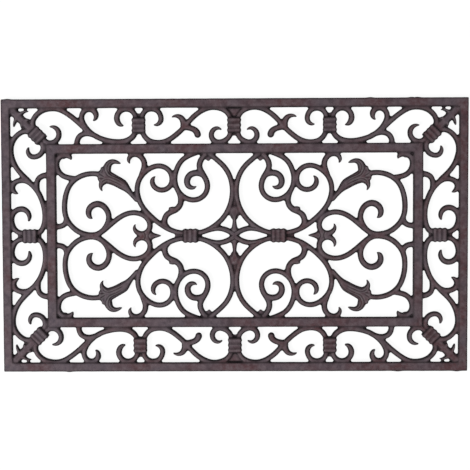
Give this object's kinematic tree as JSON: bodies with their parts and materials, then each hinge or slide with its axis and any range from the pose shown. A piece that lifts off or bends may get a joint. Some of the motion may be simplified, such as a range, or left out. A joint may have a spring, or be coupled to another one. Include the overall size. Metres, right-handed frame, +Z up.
{
  "type": "door mat",
  "caption": "Rectangular openwork cast iron door mat: flat double frame, a border of scrolls with ribbed collars, and an inner panel of scrollwork.",
  "frame": {"origin": "middle of the underside, on the floor", "axes": "+X along the length, +Y across the width towards the back edge, +Z up"},
  "size_m": [0.75, 0.44, 0.012],
  "materials": {
    "cast_iron": "cast, dark brown"
  },
  "bodies": {
    "root": {"acanthus_buds": "cast_iron", "border_inner_scroll_back_left": "cast_iron", "border_inner_scroll_back_right": "cast_iron", "border_inner_scroll_front_left": "cast_iron", "border_inner_scroll_front_right": "cast_iron", "border_outer_scroll_back_left": "cast_iron", "border_outer_scroll_back_right": "cast_iron", "border_outer_scroll_front_left": "cast_iron", "border_outer_scroll_front_right": "cast_iron", "corner_collars": "cast_iron", "corner_curls": "cast_iron", "corner_long_scroll_back_left": "cast_iron", "corner_long_scroll_back_right": "cast_iron", "corner_long_scroll_front_left": "cast_iron", "corner_long_scroll_front_right": "cast_iron", "corner_short_scroll_back_left": "cast_iron", "corner_short_scroll_back_right": "cast_iron", "corner_short_scroll_front_left": "cast_iron", "corner_short_scroll_front_right": "cast_iron", "corner_spears": "cast_iron", "heart_buds": "cast_iron", "heart_scroll_back_left": "cast_iron", "heart_scroll_back_right": "cast_iron", "heart_scroll_front_left": "cast_iron", "heart_scroll_front_right": "cast_iron", "inner_rail_back": "cast_iron", "inner_rail_front": "cast_iron", "inner_rail_left": "cast_iron", "inner_rail_right": "cast_iron", "leaf_stems": "cast_iron", "long_border_collars": "cast_iron", "outer_rail_back": "cast_iron", "outer_rail_front": "cast_iron", "outer_rail_left": "cast_iron", "outer_rail_right": "cast_iron", "oval_arc_back_left": "cast_iron", "oval_arc_back_right": "cast_iron", "oval_arc_front_left": "cast_iron", "oval_arc_front_right": "cast_iron", "panel_collars": "cast_iron", "rail_brackets": "cast_iron", "rail_hooks": "cast_iron", "ring_scroll_back_left": "cast_iron", "ring_scroll_back_right": "cast_iron", "ring_scroll_front_left": "cast_iron", "ring_scroll_front_right": "cast_iron", "rosette": "cast_iron", "short_border_collars": "cast_iron", "side_scroll_back_left": "cast_iron", "side_scroll_back_right": "cast_iron", "side_scroll_front_left": "cast_iron", "side_scroll_front_right": "cast_iron", "swan_scroll_back_left": "cast_iron", "swan_scroll_back_right": "cast_iron", "swan_scroll_front_left": "cast_iron", "swan_scroll_front_right": "cast_iron", "volute_back_left": "cast_iron", "volute_back_right": "cast_iron", "volute_front_left": "cast_iron", "volute_front_right": "cast_iron"}
  },
  "joints": []
}
